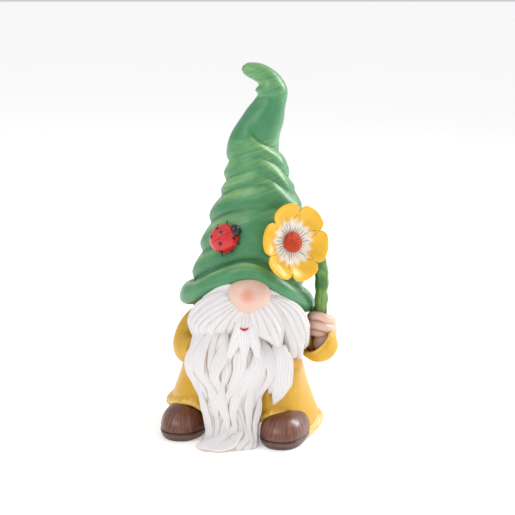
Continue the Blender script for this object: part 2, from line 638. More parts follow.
class GNOME_OT_hat(bpy.types.Operator):
    """Make the folded crown of the hat, with its horn, and the rolled brim"""
    bl_idname = "gnome.hat"
    bl_label = "Hat"

    def execute(self, context):
        rings, cavity, ridge = crown_rings(sizes().hat_fold * 1000)
        dents = ripple(rings, 20, 5) * 0.6 + ripple(rings, 8, 6) * 0.22
        rings[2:-2] = rings[2:-2] + (outward(rings) * dents[..., None])[2:-2]
        flow = rings + [0, 0, 1] * (rings[..., :1] * -0.35)
        Clay().add(rings, cavity, ridge, flow, head=True).piece("hat_crown_sculpt", hat_paint(), "hat_green",
                                                               "hat_crown")
        grid, cavity, ridge = brim_rings()
        grid = grid + unit(grid - grid.mean(axis=1, keepdims=True)) * (ripple(grid, 16, 9) * 0.4)[..., None]
        flow = grid.copy()
        flow[..., 2] = np.linspace(0, 50, grid.shape[1])[None]
        ring_piece(grid, cavity, ridge, flow, "hat_brim_sculpt",
                   hat_paint("hat_brim_green", (0.33, 0.36, 0.13)),
                   "hat_green", "hat_brim")
        return {"FINISHED"}


# ------------------------------------------------------------------ beard and moustache
GUIDE_HEIGHTS = (0, 5, 11, 18, 26, 34, 42, 50, 59, 68, 78, 88, 99)
GUIDES = (  # how the beard's strands run down: their place across at each height
    (-35.0, -32.0, -30.6, -32.0, -33.4, -33.8, -38.0, -41.9, -44.7, -45.5, -43.1, -40.6, -36),
    (-31.4, -29.7, -27.5, -26.5, -27.8, -29.4, -30.4, -33.2, -39.0, -41.2, -38.6, -35.1, -30),
    (-25.8, -25.1, -22.6, -20.1, -21.0, -22.4, -24.2, -27.3, -32.0, -33.6, -32.3, -27.8, -23),
    (-19.3, -18.8, -16.9, -15.0, -16.7, -18.5, -19.9, -19.4, -23.5, -25.6, -23.7, -20.2, -16),
    (-13.5, -13.1, -11.9, -11.7, -13.1, -14.9, -16.2, -15.2, -12.0, -9.5, -9.2, -10.7, -9),
    (-7.1, -6.9, -6.0, -5.9, -8.2, -9.1, -9.0, -7.3, -3.4, -0.3, 0.1, -2.7, -3),
    (-0.6, -0.6, -0.1, -0.6, -0.6, -0.4, -0.1, 1.8, 6.0, 8.9, 8.8, 4.9, 4),
    (5.8, 5.8, 5.2, 4.1, 4.1, 5.0, 6.5, 9.8, 14.5, 16.4, 15.8, 12.0, 10),
    (10.5, 10.5, 9.7, 8.4, 9.3, 10.6, 12.6, 17.9, 22.2, 23.2, 21.1, 15.3, 16),
    (13.2, 12.8, 12.5, 13.2, 14.2, 14.7, 17.8, 24.4, 28.4, 29.8, 29.8, 28.3, 26))
BEARD_FORM = (  # height, middle y, and how far the front stands out from it
    (0, -45, 21), (5, -46, 21), (11, -45.5, 18), (18, -44, 15.5), (26, -43, 14.5), (34, -42, 15),
    (42, -41, 16.5), (50, -39.5, 18), (59, -38, 20), (68, -36.5, 21.5), (78, -35, 22), (88, -33.5, 21),
    (99, -32, 19))


def beard_surface(u, v):
    """A point on the beard's form: u across from 0 to 1, v down from 1 at the top to 0."""
    u, v = np.broadcast_arrays(np.clip(u, 0, 1), v)
    form = np.array(BEARD_FORM, float)
    form = np.broadcast_to(form[None], (2,) + form.shape)
    z, y, d = np.moveaxis(net(form, 0 * u, v), -1, 0)
    x = net(np.array(GUIDES, float)[..., None], u, v)[..., 0]
    return np.stack([x, y - d * (1 - np.abs(2 * u - 1) ** 2.5) ** 0.5, z], axis=-1)


def beard_rings(locks, strand, along=300, across=250, behind=36):
    """The beard's body: broad locks and fine strands that follow the guides, closed behind."""
    v = np.linspace(1, 0, along)[:, None]
    u = np.linspace(0.0, 1.0, across)[None]
    u = 0.5 - 0.5 * np.cos(math.pi * (0.04 + 0.92 * u)) / math.cos(math.pi * 0.04)
    uu, vv = np.broadcast_arrays(np.clip(u, 0, 1), v)
    front = beard_surface(uu, vv)
    rng = np.random.default_rng(21)
    slow = np.sin(vv * 7.0 + uu * 5.0) * 0.34
    quick = np.sin(vv * 17.0 + uu * 9.0 + 1.0) * 0.24 * (1.3 - vv)
    wobble = (slow + quick) / locks * 2
    place = (uu + wobble * (uu * (1 - uu) * 4)) * locks
    index = np.clip(np.floor(place).astype(int), 0, locks - 1)
    part = place - np.floor(place)
    lifts = rng.uniform(-0.6, 0.9, (locks, 7))
    lift = np.array([np.interp(v[:, 0], np.linspace(0, 1, 7), row) for row in lifts])
    lift = lift[index, np.arange(along)[:, None]]
    body = 1 - np.abs(2 * part - 1) ** 2.6
    strands = 4
    drift = (2 * part - 1) + 0.22 * np.sin(vv * 16 + index * 1.7) * (1 - (2 * part - 1) ** 2)
    fine = np.zeros_like(uu)
    cut = np.zeros_like(uu)
    for k in range(locks):
        inside = index == k
        a, b = grooves(drift[inside], strands, 100 + k)
        fine[inside], cut[inside] = a, b
    edge = np.clip(uu * (1 - uu) * 30, 0, 1)
    raise_by = edge * ((body - 1) * 1.0 + lift * 0.9 * body) + (fine - 1) * strand * (0.5 + 0.5 * body)
    out = np.stack([(2 * uu - 1) * 0.9, -np.ones_like(uu), 0 * uu], axis=-1)
    front = front + unit(out) * raise_by[..., None]
    cavity = np.clip((1 - body) ** 1.5 * 0.7 + cut * 0.45, 0, 1)
    bend = np.linspace(0, math.pi, behind + 2)[1:-1]
    left, right = front[:, :1], front[:, -1:]
    middle = (left + right) / 2
    half = (right - left) / 2
    back = middle + half * np.cos(bend)[None, :, None] + np.array([0, 7.0, 0]) * np.sin(bend)[None, :, None]
    rings = np.concatenate([front, back], axis=1)
    cavity = np.concatenate([cavity, np.full((along, behind), 0.8)], axis=1)
    ridge = np.concatenate([body * fine, np.zeros((along, behind))], axis=1)
    strokes = np.stack([uu * 80, 0 * uu, vv * 100], axis=-1)
    flow = np.concatenate([strokes, rings[:, across:]], axis=1)
    return rings, cavity, ridge, flow


def on_beard(u0, u1, z0, z1, points=7, lift=0.8, sway=0.0):
    """A path over the beard, from one place across and height to another."""
    s = np.linspace(0, 1, points)
    z = z0 + (z1 - z0) * s
    v = np.interp(z, GUIDE_HEIGHTS, np.linspace(0, 1, len(GUIDE_HEIGHTS)))
    u = u0 + (u1 - u0) * s + sway * np.sin(math.pi * s * 2)
    path = beard_surface(u, v)
    face = unit(np.stack([(2 * u - 1) * 0.9, -np.ones_like(u), 0.1 + 0 * u], axis=-1))
    arch = np.sin(math.pi * (0.04 + 0.92 * s)) ** 0.7
    return path + face * (lift * arch - 2.4 * (1 - arch))[:, None], face


BEARD_LOCKS = (  # across and height at the start, then at the end; half width, half thickness
    (0.10, 96, 0.07, 40, 6.0, 2.0), (0.24, 97, 0.18, 46, 6.0, 2.0), (0.40, 98, 0.33, 36, 6.2, 2.2),
    (0.56, 98, 0.50, 32, 6.0, 2.2), (0.72, 97, 0.64, 28, 6.0, 2.2), (0.90, 92, 0.86, 34, 5.6, 2.2),
    (0.22, 62, 0.24, 14, 4.6, 1.9), (0.42, 60, 0.40, 8, 5.0, 2.0), (0.60, 62, 0.57, 9, 4.8, 2.0),
    (0.78, 56, 0.77, 6, 4.6, 2.0), (0.66, 78, 0.46, 24, 4.2, 2.0), (0.84, 82, 0.66, 38, 4.0, 2.0),
    (0.92, 44, 0.92, 2, 4.0, 2.0), (0.08, 50, 0.10, 4, 4.2, 2.0))


def face_round(x, radius=60.0, reach=57.0):
    """How far forward the hair of the face lies at a place across."""
    return -radius * np.sqrt(np.clip(1 - (np.asarray(x) / reach) ** 2, 0.05, 1))


MOUSTACHE_RIGHT = (
    ((-18.8, 127.2), (-36.9, 115.9), (-46.0, 99.1), (-43.8, 86.2)),
    ((-15.2, 124.9), (-31.6, 113.9), (-41.1, 99.5), (-40.4, 87.2)),
    ((-12.2, 121.3), (-26.3, 111.7), (-35.7, 98.3), (-36.0, 88.3)),
    ((-9.3, 118.5), (-21.1, 108.5), (-29.7, 97.9), (-30.4, 90.0)),
    ((-6.4, 116.3), (-15.2, 106.6), (-22.7, 97.0), (-24.2, 91.6)),
    ((-3.5, 114.1), (-10.1, 105.4), (-16.3, 97.5), (-17.8, 94.0)),
    ((2.1, 111.6), (-1.0, 104.8), (-5.8, 98.1), (-10.1, 94.3)))
MOUSTACHE_LEFT = (
    ((20.7, 122.2), (29.7, 111.9), (34.0, 99.0), (34.8, 86.1)),
    ((17.7, 119.4), (25.2, 108.0), (30.0, 95.3), (35.0, 80.0)),
    ((14.8, 116.6), (20.8, 105.5), (25.9, 92.6), (34.2, 75.5)),
    ((11.2, 114.6), (15.6, 103.0), (20.8, 91.6), (30.9, 79.0)),
    ((7.5, 113.3), (10.4, 101.8), (15.6, 92.1), (24.8, 84.9)),
    ((4.6, 111.8), (5.9, 102.0), (10.4, 94.0), (17.4, 89.5)),
    ((1.1, 111.0), (1.9, 103.6), (5.1, 97.1), (10.9, 91.7)))
SIDE_HAIR = (
    ((24.5, 126.6), (44.6, 113.2), (53.8, 97.0), (59.4, 75.0)),
    ((23.4, 123.8), (41.0, 111.2), (50.8, 92.0), (57.0, 70.5)),
    ((23.1, 121.1), (38.6, 108.6), (47.6, 90.0), (56.4, 68.5)),
    ((21.6, 119.7), (34.4, 107.1), (41.7, 89.6), (49.9, 67.0)),
    ((20.8, 119.0), (30.8, 106.0), (36.9, 90.5), (41.6, 71.2)))
TEMPLE_RIGHT = (((-12.2, 133.6), (-22.5, 129.8), (-34.2, 121.6)),
                ((-11.9, 130.4), (-22.1, 126.7), (-34.5, 118.5)),
                ((-11.0, 127.0), (-21.5, 123.4), (-33.5, 115.5)))
TEMPLE_LEFT = (((21.1, 129.8), (31.1, 124.6), (42.7, 113.8)), ((20.8, 126.6), (30.4, 121.4), (41.7, 111.0)),
               ((20.0, 123.4), (29.4, 118.4), (40.2, 108.4)))
SIDE_LOCK = (
    ((29.0, 84.1), (31.2, 66.9), (30.8, 54.6), (28.4, 43.5), (24.6, 32.6)),
    ((24.6, 84.3), (26.3, 68.9), (25.0, 56.6), (22.8, 47.5), (20.9, 41.6)),
    ((33.0, 83.2), (33.2, 64.0), (32.4, 53.2), (29.4, 43.3), (25.6, 34.6)))


class GNOME_OT_beard(bpy.types.Operator):
    """Make the long beard and the free lock beside it"""
    bl_idname = "gnome.beard"
    bl_label = "Beard"

    def execute(self, context):
        strand = sizes().strand_depth * 1000
        rings, cavity, ridge, flow = beard_rings(sizes().locks, strand)
        Clay().add(rings, cavity, ridge, flow, head=True).piece("beard_body", hair_paint(), "hair_white",
                                                                "beard")
        for part, word in ((0, "upper"), (1, "lower")):
            clay = Clay()
            for i, (u0, z0, u1, z1, width, thick) in enumerate(BEARD_LOCKS):
                if (z0 < 70) != bool(part):
                    continue
                path, face = on_beard(u0, u1, z0, z1, points=9, lift=0.2, sway=0.02 * (-1) ** i)
                lock(clay, path, width, thick, 300 + i, face, strands=7, start=0.4, end=0.6, depth=0.27,
                     along=52, around=150)
            clay.piece(f"beard_locks_{word}", hair_paint(), "hair_white")
        clay = Clay()
        sweep = [(-10, -58.0, 17), (-17, -61.5, 9), (-25, -64.0, 5.2), (-32, -65.5, 4.4), (-38, -66.0, 4.2)]
        lock(clay, sweep, 5.0, 4.0, 350, (-0.2, -0.8, 0.6), strands=6, start=0.3, end=0.35, depth=0.3,
             around=160)
        sweep = [(0, -60.5, 15), (-7, -63.5, 7), (-15, -65.5, 4.0), (-24, -66.5, 3.4), (-31, -66.5, 3.2)]
        lock(clay, sweep, 5.0, 3.8, 351, (-0.2, -0.8, 0.6), strands=6, start=0.3, end=0.35, depth=0.3,
             around=160)
        clay.piece("beard_sweep", hair_paint(), "hair_white")
        clay = Clay()
        for i, points in enumerate(SIDE_LOCK):
            path = [(x, -47.5 + 0.08 * abs(x - 30), z) for x, z in points]
            lock(clay, path, (9.2, 5.0, 5.6)[i], (4.2, 3.4, 3.2)[i], 400 + i, strands=(10, 6, 6)[i],
                 start=0.2, end=0.42, depth=0.3, along=84, around=180)
        clay.piece("beard_side_lock", hair_paint(), "hair_white", "beard_lock_left")
        return {"FINISHED"}


def hair_form(clay, guides, root, thick, sink, seed, locks=4, strands=4, radius=60.0, reach=57.0, ragged=0.07,
              tip=0.24, along=170, across=200, behind=36):
    """A plump form of hair whose strands follow the guides out from under root."""
    guides = np.asarray(guides, float)
    start = guides[:, :1] + 0.5 * (np.asarray(root) - guides[:, :1])
    guides = np.concatenate([start, guides], axis=1)
    guides[:, -1] += 0.28 * (guides[:, -1] - guides[:, -2])
    guides[0] += 0.6 * (guides[0] - guides[1])
    guides[-1] += 0.6 * (guides[-1] - guides[-2])
    rng = np.random.default_rng(seed)
    u = 0.5 - 0.5 * np.cos(math.pi * np.linspace(0.03, 0.97, across))[None] / math.cos(math.pi * 0.03)
    u, v = np.broadcast_arrays(u, np.linspace(0, 1, along)[:, None])
    ends = rng.uniform(0, ragged, locks * 2 + 1)
    trim = 1 - np.interp(u[0], np.linspace(0, 1, locks * 2 + 1), ends)
    place = (u + 0.25 / locks * np.sin(5 * v + 6 * u + seed) * 4 * u * (1 - u)) * locks
    index = np.clip(np.floor(place).astype(int), 0, locks - 1)
    part = place - np.floor(place)
    flat = net(guides, u, v * trim)
    x, z = flat[..., 0], flat[..., 1]
    face = unit(np.stack([x / reach * 1.1, -np.sqrt(np.clip(1 - (x / reach) ** 2, 0.05, 1)), 0.15 + 0 * x],
                         axis=-1))
    body = 1 - np.abs(2 * part - 1) ** 2.4
    fine, cut = np.zeros_like(u), np.zeros_like(u)
    for k in range(locks):
        inside = index == k
        drift = (2 * part[inside] - 1) * (1 + 0.10 * np.sin(9 * v[inside] + k))
        fine[inside], cut[inside] = grooves(drift, strands, seed + k)
    lifts = rng.uniform(-0.5, 0.7, (locks, 5))
    lift = np.array([np.interp(v[:, 0], np.linspace(0, 1, 5), row) for row in lifts])
    lift = lift[index, np.arange(along)[:, None]]
    shape = np.clip(1 - np.abs(2 * u - 1) ** 2.6, 0, 1) ** 0.5 * np.clip(v / 0.22, 0, 1) ** 0.6
    shape = shape * np.clip((1 - v) / tip, 0, 1) ** 0.5
    calm = np.clip(shape * 1.6, 0, 1)
    out = thick * shape - sink + calm * ((body - 1) * 0.7 + lift * 0.7 * body + (fine - 1) * 0.36)
    front = np.stack([x, face_round(x, radius, reach), z], axis=-1) + face * out[..., None]
    bend = np.linspace(0, math.pi, behind + 2)[1:-1][None, :, None]
    left, right = front[:, :1], front[:, -1:]
    inwards = face.mean(axis=1, keepdims=True) * -3.5
    back = (left + right) / 2 + (right - left) / 2 * np.cos(bend) + inwards * np.sin(bend)
    rings = np.concatenate([front, back], axis=1)
    pad = np.zeros((along, behind))
    cavity = np.clip((1 - body) ** 1.6 * 0.42 + cut * 0.42 + np.clip(0.5 - shape, 0, 1), 0, 1)
    strokes = np.stack([u * 26 + seed, 0 * u, v * 60], axis=-1)
    clay.add(rings, np.concatenate([cavity, pad + 0.8], axis=1), np.concatenate([body * fine, pad], axis=1),
             np.concatenate([strokes, rings[:, across:]], axis=1), head=True)


class GNOME_OT_moustache(bpy.types.Operator):
    """Make the two halves of the moustache, the side hair and the hair under the brim"""
    bl_idname = "gnome.moustache"
    bl_label = "Moustache and side hair"

    def execute(self, context):
        white, root = hair_paint(), (4.0, 124.0)
        clay = Clay()
        hair_form(clay, MOUSTACHE_RIGHT, root, 11.5, 8.0, 510, locks=7, strands=4, across=260)
        clay.piece("moustache_right_half", white, "hair_white", "moustache_right")
        clay = Clay()
        hair_form(clay, MOUSTACHE_LEFT, root, 11.5, 8.0, 530, locks=6, strands=4, across=230)
        clay.piece("moustache_left_half", white, "hair_white", "moustache_left")
        clay = Clay()
        hair_form(clay, SIDE_HAIR, (10.0, 118.0), 11.0, 8.0, 550, locks=5, strands=4, radius=53, reach=70,
                  ragged=0.16, tip=0.12)
        clay.piece("side_hair", white, "hair_white", "side_hair_left")
        for name, table, seed in (("right", TEMPLE_RIGHT, 560), ("left", TEMPLE_LEFT, 570)):
            clay = Clay()
            hair_form(clay, table, (4.0, 128.0), 5.0, 7.5, seed, locks=2, strands=5, along=90, across=110)
            clay.piece(f"temple_hair_{name}_locks", white, "hair_white", f"temple_hair_{name}")
        return {"FINISHED"}


# ------------------------------------------------------------------ face
NOSE_MIDDLE = np.array([4.4, -52.6, 124.4])
NOSE_SIZE = (17.4, 15.8, 14.6)
HEAD_MIDDLE = np.array([3.0, -2.0, 118.0])
HEAD_SIZE = (35.0, 35.0, 30.0)


class GNOME_OT_face(bpy.types.Operator):
    """Make the nose, the lip, and the head that carries the hat"""
    bl_idname = "gnome.face"
    bl_label = "Nose and lip"

    def execute(self, context):
        centre = NOSE_MIDDLE
        rings = egg(centre, NOSE_SIZE, 100, 120, pinch=0.07)
        rings = rings + unit(rings - centre) * (ripple(rings, 7, 31) * 0.10)[..., None]
        off = rings - (centre + [-0.6, -15.0, 3.0])
        blush = np.exp(-(off**2).sum(-1) / 64.0) * 0.9
        rim = np.clip((rings[..., 1] - (centre[1] - 2)) / 9.0, 0, 1)
        rim = rim * np.clip((130 - rings[..., 2]) / 10, 0, 1)
        Clay().add(rings, rim, blush, head=True).piece("nose_ball", skin_paint(), "skin", "nose")
        red = paint("lip_red", (0.78, 0.12, 0.18), (0.45, 0.05, 0.08), (0.85, 0.30, 0.32), 0.35, 0.3,
                    0.3, 0.1)
        turn = np.linspace(-1, 1, 15)
        path = np.stack([1.0 + 3.4 * turn, -64.4 + 1.2 * turn**2, 99.4 + 1.6 * turn**2], axis=-1)
        rings, _, _ = swept(path, [0.35, 0.8, 1.0, 0.8, 0.35], [0.35, 0.9, 1.0, 0.9, 0.35], along=40,
                            around=20)
        clay = Clay()
        strands = (  # hair that spreads out below the mouth
            ((1.6, -47, 118), (1.6, -53, 110), (0.6, -58.0, 103), (-2.2, -59.4, 96), (-6.5, -58.6, 87),
             (-10.5, -56.6, 76), (-12.5, -54.0, 64)),
            ((2.4, -47, 118), (2.4, -53, 110), (3.4, -58.0, 103), (5.6, -59.2, 96), (9.0, -58.2, 87),
             (11.5, -56.4, 77), (12.0, -54.0, 66)),
            ((2.0, -47, 118), (2.0, -53, 110), (1.7, -58.2, 103), (1.4, -59.8, 96), (1.2, -59.2, 87),
             (0.6, -57.6, 76), (-1.0, -55.4, 60)))
        for i, path in enumerate(strands):
            lock(clay, path, (7.2, 7.2, 7.6)[i], (4.0, 4.0, 4.6)[i], 590 + i, strands=6, start=0.04,
                 end=0.6, depth=0.3, along=80, around=130)
        clay.piece("chin_hair", hair_paint(), "hair_white")
        Clay().add(rings, head=True).piece("lip", red, "lip_red", "mouth")
        rings = egg(HEAD_MIDDLE, HEAD_SIZE, 60, 80)
        rings = rings + unit(rings - rings.mean((0, 1))) * (ripple(rings, 14, 3) * 0.3)[..., None]
        Clay().add(rings, 0.3, head=True).piece("head_form", skin_paint(), "skin", "head")
        return {"FINISHED"}


def egg(centre, radii, along, around, pinch=0.0, square=2.0):
    """A closed round form, narrower at the bottom by pinch."""
    drop = np.linspace(0.02, math.pi - 0.02, along)[:, None]
    turn = round_turns(around)[None]
    c, s = np.cos(drop), np.sin(drop)
    power = 2 / square
    level = rounded(c, power)
    reach = np.abs(s) ** power * (1 + pinch * level)
    x = reach * rounded(np.sin(turn), power)
    y = -reach * rounded(np.cos(turn), power)
    z = np.broadcast_to(level, x.shape)
    return np.asarray(centre) + np.stack([x * radii[0], y * radii[1], z * radii[2]], axis=-1)


# ------------------------------------------------------------------ clothes
HEM = {  # height of the hem round each leg, in degrees from the front towards the outside
    1: ((-180, 3), (-120, 1), (-75, 1), (-42, 6), (-20, 15.5), (0, 20.6), (14, 21.8), (28, 19), (45, 9.5),
        (58, 2.4), (75, 3.5), (98, 8.0), (120, 7), (150, 4), (180, 3)),
    -1: ((-180, 3), (-120, 1), (-75, 1), (-45, 7), (-22, 17.5), (0, 23.8), (18, 25.0), (36, 22.4), (52, 19.6),
         (66, 18.8), (86, 20.5), (105, 16), (130, 8), (155, 4), (180, 3))}


def bell_leg(side, around=220, along=110):
    """A flared leg: its outer wall, a rounded hem and a short wall inside the hem."""
    turn = np.linspace(-math.pi, math.pi, around, endpoint=False)
    angle = np.degrees(turn)
    knots = np.array(HEM[side], float)
    hem = spline(angle, knots[:, 0], knots[:, 1])
    thick = 2.3 + 3.6 * bump(angle, 75, 38.0)
    top = 63.0
    flare = (4.4 if side < 0 else 0.8) * bump(angle, 90, 38.0)
    rows, cavity, ridge = [], [], []
    levels = np.linspace(0, 1, along) ** 1.25
    for level in levels[::-1]:
        z = hem + 1.6 + (top - hem - 1.6) * level
        roll = 1.5 * bump(z - hem, 2.4, 2.6) - 0.6 * bump(z - hem, 7.4, 2.0)
        roll = roll + flare * np.exp(-np.clip(z - hem, 0, 99) / 9.0)
        rows.append(leg_ring(side, turn, z, -roll))
        cavity.append(np.clip((z - 52) / 10, 0, 1) * 0.7 + 0.35 * bump(z - hem, 7.5, 2.5)
                      + 0.5 * np.clip(np.cos(turn + 0.9) - 0.55, 0, 1) * 2 * np.clip((40 - z) / 30, 0, 1))
        ridge.append(bump(z - hem, 2.5, 2.5))
    for bend in np.linspace(0.15, math.pi - 0.15, 16):
        inset = thick * (1 - math.cos(bend)) / 2 - 1.35 - flare
        z = hem + 1.6 - 1.6 * math.sin(bend)
        rows.append(leg_ring(side, turn, z, inset))
        cavity.append(np.full(around, 0.1 + 0.5 * bend / math.pi))
        ridge.append(np.full(around, 0.9 * math.sin(bend)))
    for deep in np.linspace(0.1, 1, 12):
        z = np.minimum(hem + 1.6 + 14 * deep, top)
        rows.append(leg_ring(side, turn, z, thick + 7 * deep - flare * (1 - deep)))
        cavity.append(np.full(around, 0.95))
        ridge.append(np.zeros(around))
    return np.array(rows), np.clip(np.array(cavity), 0, 1), np.array(ridge)


def leg_ring(side, turn, z, inset):
    """Points of a leg's wall at heights z round it, moved in by inset."""
    table = np.array([(0, 34.0, 31.5, 44.5, 40.0), (8, 34.0, 31.4, 43.5, 40.5), (14, 33.4, 29.6, 41.6, 39.6),
                      (22, 32.4, 27.4, 39.6, 38.0), (31, 31.0, 26.2, 38.6, 37.0),
                      (42, 28.4, 25.6, 37.6, 36.5), (52, 25.5, 25.6, 35.5, 35.0),
                      (64, 20.0, 25.0, 31.0, 32.0)], float)
    middle, wide, front, back = (np.interp(z, table[:, 0], table[:, i]) for i in range(1, 5))
    deep = np.where(np.cos(turn) > 0, front, back)
    wide, deep = wide - inset, deep - inset
    x = side * (middle + wide * np.sin(turn))
    y = 2.0 - deep * np.cos(turn)
    return np.stack([x, y, z + 0 * turn], axis=-1)


CUFF_MIDDLE = np.array([66.4, -1.5, 73.5])
CUFF_WAY = np.array([-0.50, -0.46, 0.73])          # the way the open cuff faces


class GNOME_OT_clothes(bpy.types.Operator):
    """Make the coat's body, the two flared legs, the sleeves and the open cuff"""
    bl_idname = "gnome.clothes"
    bl_label = "Coat, legs and sleeves"

    def execute(self, context):
        yellow = coat_paint()
        for side, word in ((1, "left"), (-1, "right")):
            rings, cavity, ridge = bell_leg(side)
            rings = uneven(rings, 20, 40 + side, 0.5)
            Clay().add(rings, cavity, ridge).piece(f"leg_{word}", yellow, "coat_yellow",
                                                   f"trouser_leg_{word}")
        levels = np.array([(22, 0, 42, 33), (32, 0, 47, 36), (46, 0, 50, 38), (60, 0, 49.5, 38),
                           (74, 0, 46, 37), (88, 1, 41, 34), (100, 2, 35, 30), (112, 3, 24, 22)], float)
        fine = smooth(levels, 80)
        turn = round_turns(160)[None]
        z, x, wide, deep = (fine[:, i:i + 1] for i in range(4))
        rings = np.stack([x + wide * np.sin(turn), deep * np.cos(turn), z + 0 * turn], axis=-1)
        rings = uneven(rings, 18, 52, 0.6)
        cavity = np.clip(1.0 - np.abs(np.sin(turn)) * 1.3, 0, 1) * 0.4 + 0 * rings[..., 0]
        Clay().add(rings, cavity).piece("coat_form", yellow, "coat_yellow", "coat_body")
        path = [(-22, 3, 98), (-31, 2, 93), (-39, -1, 86), (-44, -5, 78.5), (-44.5, -14, 71.5),
                (-39, -26, 70), (-31, -35, 73)]
        rings, _, _ = swept(path, [9, 11, 12.2, 12.6, 12.2, 11, 9], [9, 11, 12.2, 12.6, 12, 11, 9],
                            (-0.5, 0.4, -0.7), 100, 120)
        rings = uneven(rings, 12, 61, 0.7)
        Clay().add(rings, 0.15).piece("sleeve_right_form", yellow, "coat_yellow", "sleeve_right")
        self.left_sleeve(yellow)
        return {"FINISHED"}

    def left_sleeve(self, yellow):
        path = [(26, 5, 99), (36, 8, 91), (45, 10, 81), (52, 9.5, 72.5), (58, 7.5, 66.5), (63, 5.5, 64.5)]
        rings, _, _ = swept(path, [11, 12, 12, 11, 8.5, 5], [11, 12, 12, 10.5, 7, 4],
                            (0.4, 0.3, -0.8), 90, 110)
        rings = uneven(rings, 12, 63, 0.6)
        Clay().add(rings, 0.2).piece("sleeve_left_form", yellow, "coat_yellow", "sleeve_left")
        profile = [  # radius and rise from the bottom of the cup, over the rim and down inside
            (3.0, -11.0), (7.0, -10.2), (10.6, -7.6), (12.9, -3.8), (14.2, 0.4), (14.9, 4.2), (14.9, 6.2),
            (14.2, 7.6), (12.6, 8.2), (11.0, 7.4), (10.3, 5.4), (10.0, 2.0), (9.4, -1.6), (7.5, -3.6),
            (2.0, -4.4)]
        shape = smooth(profile, 110) * np.array([1.05, 1.0])
        axis = unit(CUFF_WAY)
        across = unit(np.cross(axis, np.array([0.0, 1.0, 0.0])))
        along = np.cross(axis, across)
        turn = round_turns(180)
        ring = across * np.cos(turn)[:, None] + along * np.sin(turn)[:, None]
        rings = CUFF_MIDDLE + ring[None] * shape[:, :1, None] + axis * shape[:, 1:, None]
        rings = uneven(rings, 9, 64, 0.35)
        at = np.linspace(0, 1, 110)[:, None] + 0 * rings[..., 0]
        lining = np.clip((at - 0.66) / 0.08, 0, 1)
        ridge = bump(at, 0.52, 0.06)
        c = colours()
        cup = paint("cuff_yellow", c.coat, (0.60, 0.29, 0.08), c.coat_light, 0.45, 1.0, 0.7, 0.14,
                    streaks=(300.0, 300.0, 90.0), relief=0.0002)
        Clay().add(rings, lining, ridge).piece("cuff_cup", cup, "coat_yellow", "cuff_left")


BOOT_SIZE = (19.3, 31.6, 18.4)
SOLE_TOP = 7.6


class GNOME_OT_boots(bpy.types.Operator):
    """Make the two round boots and their soles"""
    bl_idname = "gnome.boots"
    bl_label = "Boots"

    def execute(self, context):
        c = colours()
        brown = paint("boot_brown", c.boots, (0.19, 0.11, 0.085), (0.60, 0.41, 0.33), 0.34, 0.9, 0.9, 0.35,
                      streaks=(520.0, 520.0, 60.0), streak=2.2, relief=0.00022, coat=0.2)
        dark = paint("sole_brown", (0.31, 0.20, 0.17), (0.13, 0.08, 0.06), (0.48, 0.34, 0.28), 0.42, 1.0,
                     0.6, 0.25, streaks=(120.0, 120.0, 420.0), relief=0.00022, coat=0.12)
        for side, word in ((1, "left"), (-1, "right")):
            centre = np.array([side * FOOT[0], FOOT[1], SOLE_TOP])
            rings = egg(centre, BOOT_SIZE, 110, 150, square=2.25)
            above = rings[..., 2] - SOLE_TOP
            rings[..., 2] = np.where(above < 0, SOLE_TOP + above * 0.06, rings[..., 2])
            rings = rings + unit(rings - centre) * (ripple(rings, 9, 70 + side) * 0.22)[..., None]
            ridge = np.clip(1.15 - np.abs(rings[..., 2] - 17) / 11, 0, 1) * 0.55
            cavity = np.clip((8.3 - rings[..., 2]) / 0.8, 0, 1) * 0.8
            spin = round_turns(150)[None] + 0 * ridge
            strokes = np.stack([np.cos(spin) * 26, np.sin(spin) * 26, 30 - rings[..., 2]], axis=-1)
            Clay().add(rings, cavity, ridge, strokes).piece(f"boot_{word}", brown, "boot_brown",
                                                            f"boot_upper_{word}")
            self.sole(dark, side, word)
        return {"FINISHED"}

    def sole(self, dark, side, word):
        turn = round_turns(240)
        profile = smooth([(8.0, 0.0), (15.6, 0.0), (17.0, 0.6), (18.2, 2.2), (19.0, 4.2), (19.3, 5.9),
                          (19.0, 6.7), (18.2, 7.1), (17.0, 7.2), (8.0, 7.2)], 60)
        ring = []
        for radius, z in profile:
            c, s = np.cos(turn), np.sin(turn)
            x = rounded(s, 0.86) * radius
            y = -rounded(c, 0.86) * (radius + 12.6)
            ring.append(np.stack([side * FOOT[0] + x, FOOT[1] + y, z + 0 * turn], axis=-1))
        rings = np.array(ring)
        wave = ripple(rings, 7, 80 + side)
        rings[..., 0] += wave * 0.12
        cavity = np.clip((rings[..., 2] - 6.4) / 1.2, 0, 1) + np.clip((0.8 - rings[..., 2]) / 0.8, 0, 1) * 0.6
        ridge = bump(rings[..., 2], 4.6, 1.6) * 0.8
        Clay().add(rings, np.clip(cavity, 0, 1), ridge).piece(f"sole_{word}", dark, "sole_brown",
                                                             f"boot_sole_{word}")


# ------------------------------------------------------------------ hand
FINGERS = (
    ("index", ((72.6, -7.0, 91.0), (71.8, -15.0, 93.8), (67.0, -20.4, 97.0), (61.2, -20.8, 99.6),
               (56.6, -16.6, 98.4), (55.4, -10.0, 97.4)), 4.0),
    ("middle", ((73.4, -6.0, 85.6), (72.6, -15.0, 88.0), (66.6, -21.2, 90.2), (59.6, -21.6, 92.4),
                (54.8, -17.0, 92.2), (54.0, -10.0, 91.4)), 4.1),
    ("ring", ((72.0, -6.0, 80.4), (70.6, -13.2, 83.0), (65.0, -18.6, 84.2), (59.4, -18.8, 85.6),
              (55.6, -14.8, 85.8), (55.2, -9.5, 85.4)), 4.0))


